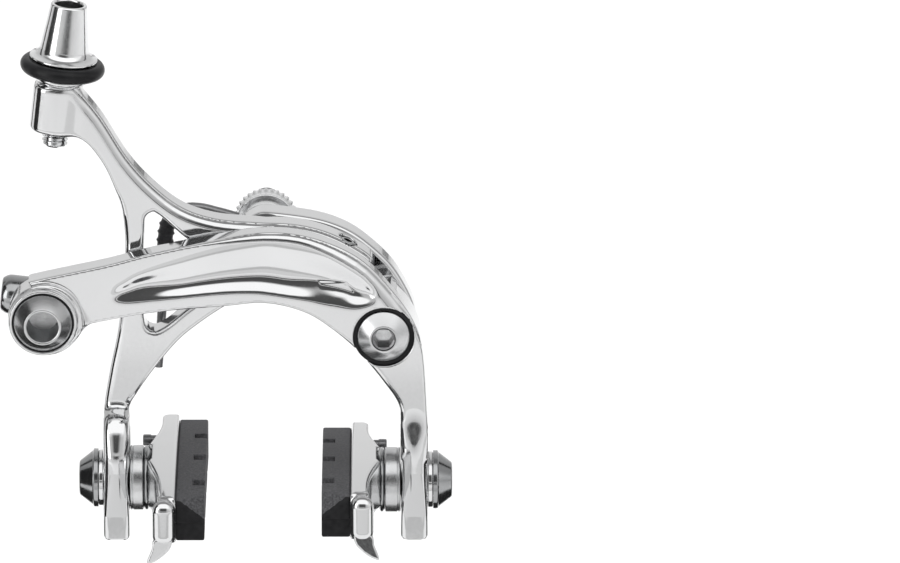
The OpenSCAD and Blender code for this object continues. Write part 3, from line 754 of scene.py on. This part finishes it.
def outward(side, station):
    """The frame whose Z points out along a pad's stud, at a distance from the centre plane."""
    p = PADS[side]
    return axis_frame((p["sign"] * station, STUD_Y, p["height"]), (p["sign"], 0, 0))


def build_stud_parts():
    hole = STUD_HOLE_R
    for side in PADS:
        foot_in, foot_out = (26.3, 31.4) if side == "left" else (25.9, 31.2)
        stack = f"{side}_pad_stack"
        back = PADS[side]["rubber_x"]
        dish = back + 6.6
        ring = foot_in - 0.05 - dish
        parts = [
            ("spacer_ring", dish + 0.02, TURNED, "turned_alloy", [
                (hole, 0), (6.1, 0, 0.1), (6.25, 0.15, 0.1), (6.25, ring - 0.65, 0.05),
                (6.1, ring - 0.55, 0.05), (6.1, ring - 0.45, 0.05), (6.25, ring - 0.35, 0.05),
                (6.25, ring - 0.2, 0.1), (6.05, ring - 0.04, 0.1), (hole, ring - 0.04), (hole, 0)]),
            ("outer_washer", foot_out + 0.05, POLISHED, "polished_alloy", [
                (hole, 0), (5.4, 0, 0.15), (5.4, 0.9, 0.3), (hole, 0.9), (hole, 0)]),
            ("cone_nut", foot_out + 1.0, GUNMETAL, "turned_alloy", [
                (hole, 0), (5.65, 0, 0.1), (5.65, 0.85, 0.15), (5.3, 1.05, 0.1), (3.35, 3.55, 0.15),
                (3.0, 3.7, 0.1), (2.75, 3.7, 0.1), (hexagon(5.0), 3.35), (hexagon(5.0), 2.3),
                (hole, 2.2), (hole, 0)]),
            ("dished_washer", dish - 1.6, GUNMETAL, "turned_alloy", [
                (hole, 0), (4.9, 0, 0.2), (6.2, 0.75, 0.15), (6.25, 1.15, 0.15), (5.7, 1.58, 0.1),
                (hole, 1.58), (hole, 0)]),
        ]
        for part, station, look, slot, profile in parts:
            node = f"{side}_{part}"
            mesh = turned(f"{node}_turned", profile)
            finish_piece(place(mesh, outward(side, station)), stack, slot, look, node)
        stud = turned(f"{side}_stud_turned", [
            (0, 1.95), (2.95, 1.95), (STUD_R, 2.2), (STUD_R, foot_out + 2.6 - back),
            (2.7, foot_out + 2.95 - back), (hexagon(2.5), foot_out + 2.95 - back),
            (hexagon(2.5), foot_out + 1.5 - back), (0, foot_out + 1.5 - back)])
        finish_piece(place(stud, outward(side, back)), f"{side}_pad", "dark_steel", STEEL,
                     f"{side}_pad_stud")
        screw = turned(f"{side}_retention_screw_turned", [
            (0, 0), (0.95, 0), (0.95, 3.4), (1.1, 3.5), (1.1, 4.8, 0.1), (0.95, 5.0, 0.1),
            (hexagon(0.9), 5.0), (hexagon(0.9), 4.2), (0, 4.2)], around=48)
        at = pad_frame(side) @ Matrix.Translation(Vector((1.95, *SCREW_AT)) * MM)
        at = at @ Matrix.Rotation(math.radians(90), 4, "Y")
        screw_mesh = moved(screw, at)
        finish_piece(place(screw_mesh), f"{side}_pad", "dark_steel", STEEL,
                     f"{side}_retention_screw")


def moved(mesh, matrix):
    """The mesh itself with the matrix applied, turned right side out if it mirrors."""
    mesh.transform(matrix)
    if matrix.determinant() < 0:
        mesh.flip_normals()
    return mesh


# ------------------------------------ barrel adjuster
THREAD_PITCH = 0.8


def thread(depth, start, end):
    """Cuts a helical thread into the part of a turned piece between two heights."""
    def shape(r, angle, height):
        if not start <= height <= end:
            return r
        phase = np.mod(height / THREAD_PITCH - angle / (2 * math.pi), 1.0)
        return r - depth * (1 - np.abs(2 * phase - 1)) ** 0.8
    return shape


def build_adjuster():
    seat_from, seat_to = 12.6, 14.2
    steps = [(2.5, h) for h in np.arange(0.45, 4.4, 0.08)]
    barrel = turned("adjuster_barrel_turned", [
        (1.1, 0), (2.0, 0), *steps, (2.5, 4.5), (2.5, seat_to + 0.05), (5.15, seat_to + 0.05),
        (5.15, 17.2, 0.2), (6.2, 17.35, 0.1), (6.5, 17.5, 0.15), (6.5, 17.85, 0.15),
        (6.1, 18.0, 0.3), (5.35, 18.35, 0.5), (4.75, 19.2, 0.7), (3.5, 28.15, 0.15),
        (3.3, 28.4, 0.1), (2.85, 28.4, 0.1), (2.7, 28.1, 0.05), (2.7, 17.5), (1.1, 17.5), (1.1, 0)],
        around=144, shape=thread(0.42, 0.4, 4.45))
    at = axis_frame(ADJUSTER, ADJUSTER_AXIS)
    finish_piece(place(barrel, at), "adjuster_body", "polished_alloy", SATIN_BARREL,
                 "adjuster_barrel")
    circle = [(6.7 + 1.42 * math.cos(a), 15.8 + 1.42 * math.sin(a), 0)
              for a in np.linspace(0, 2 * math.pi, 33)]
    ring = turned("adjuster_ring_moulded", circle, around=144)
    finish_piece(place(ring, at), "adjuster_stage", "black_rubber", RUBBER, "adjuster_ring")
    seat = turned("adjuster_seat_turned", [
        (2.55, seat_from - 0.1), (4.0, seat_from - 0.1), (4.7, seat_from + 0.25, 0.4),
        (5.25, seat_from + 0.75, 0.4), (5.5, seat_to - 0.35, 0.2), (5.2, seat_to, 0.1),
        (2.55, seat_to), (2.55, seat_from - 0.1)])
    finish_piece(place(seat, at), "rear_arm_body", "polished_alloy", POLISHED, "adjuster_seat")


SATIN_BARREL = radial_tangent(material(
    "barrel_alloy", ((0.84, 0.845, 0.85), (0.9, 0.905, 0.91)), 1.0, (0.1, 0.16), patch=150,
    grain=2500, bump=0.03, sockets={"Anisotropic": 0.4}))


# ------------------------------------ turned parts on the arms
def build_turned_parts():
    towards = (0, -1, 0)
    head = axis_frame((SIDE_X, 0, SIDE_Z), towards)
    front = -ARM_FRONT
    bolt = turned("side_pivot_bolt_turned", [
        (0, 7), (3.5, 7), (3.5, front - 2.5), (5.05, front - 2.5, 0.1), (5.05, front - 0.5, 0.25),
        (2.75, front + 1.2, 0.1), (2.6, front + 1.28, 0.05), (2.35, front + 1.28, 0.05),
        (2.2, front + 0.9, 0.05), (hexagon(3.5), front + 0.7), (hexagon(3.5), front - 1.5),
        (0, front - 1.5)], corner=0.08)
    bolt_piece = place(bolt, head)
    finish_piece(bolt_piece, "frame_side", "turned_alloy", TURNED, "side_pivot_bolt")
    # The inside of the hex socket gets dark steel: painted shade in the recess.
    paint_shade_faces(bolt_piece, STEEL, inside_bore(2.25, front - 1.4, front + 1.1))
    # A black ring deep in the gap round the bolt head: painted shade for that gap.
    shade_ring = turned("side_gap_shade_ring", [
        (5.1, front - 2.6), (5.82, front - 2.6), (5.82, front - 0.75), (5.1, front - 0.75),
        (5.1, front - 2.6)])
    finish_piece(place(shade_ring, head), "front_arm_body", "black_rubber", RUBBER)
    at = axis_frame((ANCHOR_X, 0, ANCHOR_Z), towards)
    rim = -BOSS_FRONT
    # A black ring deep in the gap round the pin: painted shade for that gap.
    shade_ring = turned("anchor_gap_shade_ring", [
        (5.62, rim - 1.55), (5.87, rim - 1.55), (5.87, rim - 0.35), (5.62, rim - 0.35),
        (5.62, rim - 1.55)], corner=0.03)
    finish_piece(place(shade_ring, at), "front_arm_body", "black_rubber", RUBBER)
    pin = turned("anchor_pin_turned", [
        (0, -ARM_BACK + 0.15), (4.0, -ARM_BACK + 0.15), (4.0, rim - 1.4), (5.6, rim - 1.4),
        (5.6, rim, 0.2), (3.55, rim + 2.55, 0.12), (3.35, rim + 2.6, 0.08),
        (PIN_BORE_R, rim + 2.45, 0.1), (PIN_BORE_R, rim - 5.3, 0.15), (0, rim - 5.5)])
    pin_piece = place(pin, at)
    finish_piece(pin_piece, "anchor_body", "turned_alloy", TURNED, "anchor_pin")
    # The pin's bore gets the darker polished steel: painted shade inside the bore.
    paint_shade_faces(pin_piece, GUNMETAL, inside_bore(3.2, rim - 5.1, rim + 2.3))
    clip = turned("anchor_clip_turned", [
        (2.6, -ARM_BACK - 1.0), (5.0, -ARM_BACK - 1.0), (5.0, -ARM_BACK - 0.2),
        (2.6, -ARM_BACK - 0.2), (2.6, -ARM_BACK - 1.0)])
    finish_piece(place(clip, at), "anchor_body", "dark_steel", STEEL, "anchor_clip")
    bolt = turned("clamp_bolt_turned", [
        (0, -3.8), (2.5, -3.8), (2.5, 3.0), (3.6, 3.0, 0.15), (3.8, 3.25, 0.2), (3.8, 7.3, 1.0),
        (3.1, 8.45, 0.4), (2.5, 8.6, 0.1), (hexagon(4.0), 8.4), (hexagon(4.0), 5.6), (0, 5.6)])
    finish_piece(place(bolt, axis_frame(CLAMP_BOLT, CLAMP_AXIS)), "clamp_bolt_body",
                 "polished_steel", GUNMETAL, "clamp_bolt")
    spike = turned("centring_screw_turned", [
        *[(1.5 * math.sin(a), -1.5 * math.cos(a), 0) for a in np.linspace(0, math.pi / 2, 9)],
        (1.5, 4.7, 0.1), (1.35, 4.9, 0.1), (hexagon(1.6), 4.9), (hexagon(1.6), 3.8), (0, 3.8)],
        around=72)
    finish_piece(place(spike, axis_frame(SCREW_BALL, SCREW_AXIS)), "centring_screw_body",
                 "dark_steel", GUNMETAL, "centring_screw")


def clamp_block_field(x, y, z):
    """The block beside the anchor pin, on the short rod that joins it to the pin."""
    node = "clamp_block"
    across, deep, up = ((low(node, axis), high(node, axis)) for axis in (X, Y, Z))
    front = deep[0] + 0.95
    body = block(x, z, y, [(CLAMP_FACE, across[1]), up, (front, deep[1])], 0.4, 0.6)
    reach = np.hypot(np.maximum(x - across[1] + 2.6, 0), np.maximum(z - up[1] + 2.6, 0))
    body = np.maximum(body, reach - 2.6)
    rod = round_bar(x - ANCHOR_X, z - ANCHOR_Z, 2.5, y, deep[0], front + 1, 0.15)
    return join(body, rod, 0.3)


def build_clamp():
    node = "clamp_block"
    corners = [[end(node, axis) for axis in (X, Y, Z)] for end in (low, high)]
    mesh = mesh_field("clamp_block_milled", clamp_block_field, corners, 0.25)
    finish_piece(place(mesh), "anchor_body", "turned_alloy", TURNED, node)
    washer = turned("clamp_washer_turned", [
        (2.55, 1.55), (4.1, 1.55, 0.2), (4.4, 1.75, 0.3), (4.4, 2.7, 0.4), (4.0, 2.9, 0.2),
        (2.55, 2.9), (2.55, 1.55)])
    finish_piece(place(washer, axis_frame(CLAMP_BOLT, CLAMP_AXIS)), "clamp_stage",
                 "dark_steel", TURNED, "clamp_washer")


def build_washer():
    """The serrated washer: a plain front half, and a rim of small pyramids behind it."""
    teeth, front, back = 32, -3.5, 0.0

    def radius(height, sharpness):
        def at(angle):
            wave = 0.5 + 0.5 * np.cos(angle * teeth)
            return 5.8 + 0.5 * wave**0.8 * sharpness
        return at

    profile = [(3.05, front), (5.6, front, 0.1), (5.75, front + 0.15), (5.75, front + 1.2)]
    for h, sharp in ((1.4, 0.0), (1.7, 0.35), (2.1, 0.8), (2.5, 1.0), (2.9, 0.8), (3.3, 0.35)):
        profile.append((radius(h, sharp), front + h))
    profile += [(5.6, back - 0.05, 0), (5.4, back, 0), (3.05, back), (3.05, front)]
    mesh = turned("serrated_washer_cut", profile, around=teeth * 10, sharp=28)
    at = Matrix.Rotation(math.radians(-90), 4, "X")
    finish_piece(place(mesh, at), "frame_side", "turned_alloy", SATIN, "serrated_washer")


# ------------------------------------ spring
SPRING_Y = -11.7


def tube(name, path, y, radius, around=16):
    """A round wire along a path in x and z, closed at both ends."""
    p = np.array(path, float)
    run = np.gradient(p, axis=0)
    run /= np.linalg.norm(run, axis=1, keepdims=True)
    side = np.stack([-run[:, 1], run[:, 0]], 1)
    angle = np.arange(around) * 2 * math.pi / around
    r = np.broadcast_to(radius, len(p))
    points = [
        (p[i][0] + side[i][0] * math.cos(a) * r[i], y + math.sin(a) * r[i],
         p[i][1] + side[i][1] * math.cos(a) * r[i])
        for i in range(len(p)) for a in angle
    ]
    faces = [[i * around + k, i * around + (k + 1) % around,
              (i + 1) * around + (k + 1) % around, (i + 1) * around + k]
             for i in range(len(p) - 1) for k in range(around)]
    mesh = bpy.data.meshes.new(name)
    ends = [list(range(around)), [(len(p) - 1) * around + k for k in range(around)]]
    mesh.from_pydata((np.array(points) * MM).tolist(), [], faces + ends)
    weld(mesh)
    mesh.polygons.foreach_set("use_smooth", [True] * len(mesh.polygons))
    mesh.set_sharp_from_angle(angle=math.radians(50))
    return mesh


def build_spring():
    line = smooth([(-5.2, 3.9), (-9, 5), (-12.8, 5.9), (-16, 5.6), (-18.5, 3.2), (-19.4, -1.2),
                   (-19.7, -8), (-20.2, -17), (-20.9, -26.4)], 12)
    wire = place(tube("return_spring_wire", line, SPRING_Y, 0.9))
    sleeve_line = line[(line[:, 1] < 3.9) & (line[:, 1] > -7.5) & (line[:, 0] < -17)]
    ribs = 1.45 + 0.25 * (np.sin(np.arange(len(sleeve_line)) * math.pi / 2) > 0.5)
    sleeve = place(tube("spring_sleeve_moulded", sleeve_line, SPRING_Y, ribs, 24))
    for piece, slot, look, node in ((wire, "dark_steel", STEEL, "return_spring"),
                                    (sleeve, "black_plastic", PLASTIC, "spring_sleeve")):
        piece.data.materials.append(look)
        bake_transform(piece)
        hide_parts(node)


# ------------------------------------ forged parts
def build_forged_parts():
    margin = 0.2
    arm = mesh_field("front_arm_forged", front_arm_field,
                     [(ANCHOR_X - 6.8, BOSS_FRONT - margin, FOOT_BOTTOM), (31.5, FOOT_BACK, 5.0)])
    finish_piece(place(arm), "front_arm_body", "polished_alloy", POLISHED, "front_arm")
    arm = mesh_field("rear_arm_forged", rear_arm_field,
                     [(-46, FOOT_FRONT, FOOT_BOTTOM), (21, FOOT_BACK, 34.0)])
    finish_piece(place(arm), "rear_arm_body", "polished_alloy", POLISHED, "rear_arm")
    bridge = mesh_field("bridge_forged", bridge_field,
                        [(-5.4, BRIDGE_FRONT, -22.4), (29.2, BRIDGE_BACK, 5.4)])
    finish_piece(place(bridge), "frame_side", "polished_alloy", POLISHED, "bridge")


# ------------------------------------ CAD pieces that stay
KEPT = {
    "centre_bolt": STEEL, "rear_spacer": SATIN, "centre_thrust_washer": STEEL,
    "centre_front_washer": STEEL, "side_thrust_washer": STEEL, "centre_bush": BRONZE,
    "side_bush": BRONZE, "spring_peg": STEEL, "thrust_plate": STEEL,
}


def dress_kept_nodes():
    for node, look in KEPT.items():
        mesh = frame["nodes"][node].data
        mesh.materials.clear()
        mesh.materials.append(look)


# ------------------------------------ studio
def build_studio():
    bpy.ops.mesh.primitive_plane_add(size=6, location=(0, 0, -0.14))
    floor = bpy.context.object
    floor.name = "floor"
    paper = material("floor_paper", ((0.9, 0.9, 0.9), (0.93, 0.93, 0.93)), 0.0, (0.7, 0.9), patch=4)
    floor.data.materials.append(paper)
    world = bpy.data.worlds.new("studio")
    bpy.context.scene.world = world
    world.use_nodes = True
    nodes, links = world.node_tree.nodes, world.node_tree.links
    sky = nodes["Background"]
    where = nodes.new("ShaderNodeTexCoord")
    split = nodes.new("ShaderNodeSeparateXYZ")
    links.new(where.outputs["Generated"], split.inputs["Vector"])

    def maths(operation, a, b=None):
        n = nodes.new("ShaderNodeMath")
        n.operation = operation
        for socket, value in zip(n.inputs, (a, b)):
            if value is None:
                continue
            if isinstance(value, (int, float)):
                socket.default_value = value
            else:
                links.new(value, socket)
        return n.outputs[0]

    # The angle over the top, from the camera's side (0) through straight up (0.5) to the back (1)
    turn = maths("ARCTAN2", split.outputs["Z"], maths("MULTIPLY", split.outputs["Y"], -1.0))
    over = maths("DIVIDE", turn, math.pi)

    def bands(steps):
        ramp = nodes.new("ShaderNodeValToRGB")
        links.new(over, ramp.inputs["Fac"])
        elements = ramp.color_ramp.elements
        while len(elements) < len(steps):
            elements.new(0.5)
        for element, (at, value) in zip(elements, steps):
            element.position = at
            element.color = (value, value, value, 1)
        return ramp.outputs["Color"]

    def blend(start, end, a, b):
        share = nodes.new("ShaderNodeMapRange")
        links.new(maths("ABSOLUTE", split.outputs["X"]), share.inputs["Value"])
        share.inputs["From Min"].default_value = start
        share.inputs["From Max"].default_value = end
        mix = nodes.new("ShaderNodeMix")
        mix.data_type = "RGBA"
        links.new(share.outputs["Result"], mix.inputs["Factor"])
        links.new(a, mix.inputs["A"])
        links.new(b, mix.inputs["B"])
        return mix.outputs["Result"]

    middle = bands([(0.0, 0.08), (0.016, 0.08), (0.022, 0.7), (0.04, 0.7), (0.05, 0.08), (0.19, 0.1),
                    (0.225, 1.3), (0.42, 1.3), (0.48, 0.25), (0.56, 0.3), (0.64, 0.6), (0.8, 0.75),
                    (1.0, 0.85)])
    beside = bands([(0.0, 0.6), (0.16, 0.65), (0.225, 1.3), (0.42, 1.3), (0.48, 0.25), (0.56, 0.25),
                    (0.64, 0.55), (1.0, 0.6)])
    edge = bands([(0.0, 0.75), (0.35, 1.0), (0.55, 0.5), (1.0, 0.6)])
    everywhere = blend(0.6, 0.85, blend(0.22, 0.5, middle, beside), edge)
    links.new(everywhere, sky.inputs["Color"])
    sky.inputs["Strength"].default_value = 1.0

    def softbox(name, at, look_at, size, power, mirrored):
        data = bpy.data.lights.new(name, "AREA")
        data.shape = "RECTANGLE"
        data.size, data.size_y = size
        data.energy = power
        lamp = bpy.data.objects.new(name, data)
        bpy.context.scene.collection.objects.link(lamp)
        lamp.location = at
        aim = Vector(look_at) - Vector(at)
        lamp.rotation_mode = "QUATERNION"
        lamp.rotation_quaternion = aim.to_track_quat("-Z", "Y")
        lamp.visible_glossy = mirrored

    # Cards that only the polished metal sees, which draw its rounded edges
    black = material("card_black", ((0.01, 0.01, 0.01), (0.02, 0.02, 0.02)), 0.0, (0.8, 0.9))
    grey = material("card_grey", ((0.5, 0.5, 0.5), (0.55, 0.55, 0.55)), 0.0, (0.8, 0.9))

    def card(name, location, rotation, size, paint):
        bpy.ops.mesh.primitive_plane_add(size=1, location=location, rotation=rotation)
        plane = bpy.context.object
        plane.name = name
        plane.scale = (*size, 1)
        plane.data.materials.append(paint)
        for seen in ("camera", "diffuse", "shadow", "transmission", "volume_scatter"):
            setattr(plane, f"visible_{seen}", False)

    for name, degrees, width, bottom, top in (("card_left", -80, 0.16, -0.14, 0.25),
                                              ("card_left_edge", -116, 0.05, -0.14, 0.25),
                                              ("card_right", 88, 0.1, -0.14, -0.03),
                                              ("card_right_edge", 112, 0.05, -0.14, 0.25)):
        around = math.radians(degrees)
        card(name, (0.3 * math.sin(around), -0.3 * math.cos(around), (bottom + top) / 2),
             (math.radians(90), 0, around), (width, top - bottom), black)
    pale = material("card_pale", ((0.68, 0.68, 0.68), (0.72, 0.72, 0.72)), 0.0, (0.8, 0.9))
    card("card_haze", (0, -0.29, -0.139), (0, 0, 0), (1.2, 0.14), pale)
    card("card_strip", (0, -0.2, -0.138), (0, 0, 0), (1.2, 0.04), grey)
    card("card_below", (0, 0.03, -0.138), (0, 0, 0), (0.8, 0.12), black)

    softbox("overhead", (0.1, 0.3, 1.2), (0.1, 0.3, 0), (1.4, 1.0), 11, False)
    softbox("left", (-0.55, -0.38, 0.12), (0, 0, -0.02), (0.3, 0.45), 0.7, True)
    bpy.context.scene.view_settings.view_transform = "Standard"


def build_camera():
    """A long lens at the photograph's angle, 18.5 degrees above the horizon, beside the part."""
    elevation = math.radians(18.5)
    aside = math.radians(-0.3)
    distance = 2.0
    look_at = Vector((35.48, -16.5, -7.63)) * MM
    back = Vector((math.sin(aside) * math.cos(elevation), -math.cos(aside) * math.cos(elevation),
                   math.sin(elevation)))
    width_seen = 173.08 * MM
    data = bpy.data.cameras.new("camera")
    data.sensor_width = 36
    data.lens = data.sensor_width * distance / width_seen
    data.clip_start, data.clip_end = 0.1, 20
    camera = bpy.data.objects.new("camera", data)
    bpy.context.scene.collection.objects.link(camera)
    camera.location = look_at + back * distance
    camera.rotation_mode = "QUATERNION"
    camera.rotation_quaternion = (-back).to_track_quat("-Z", "Y")
    bpy.context.scene.camera = camera


build_forged_parts()
build_pads()
build_stud_parts()
build_adjuster()
build_turned_parts()
build_clamp()
build_washer()
build_spring()
dress_kept_nodes()
build_studio()
build_camera()
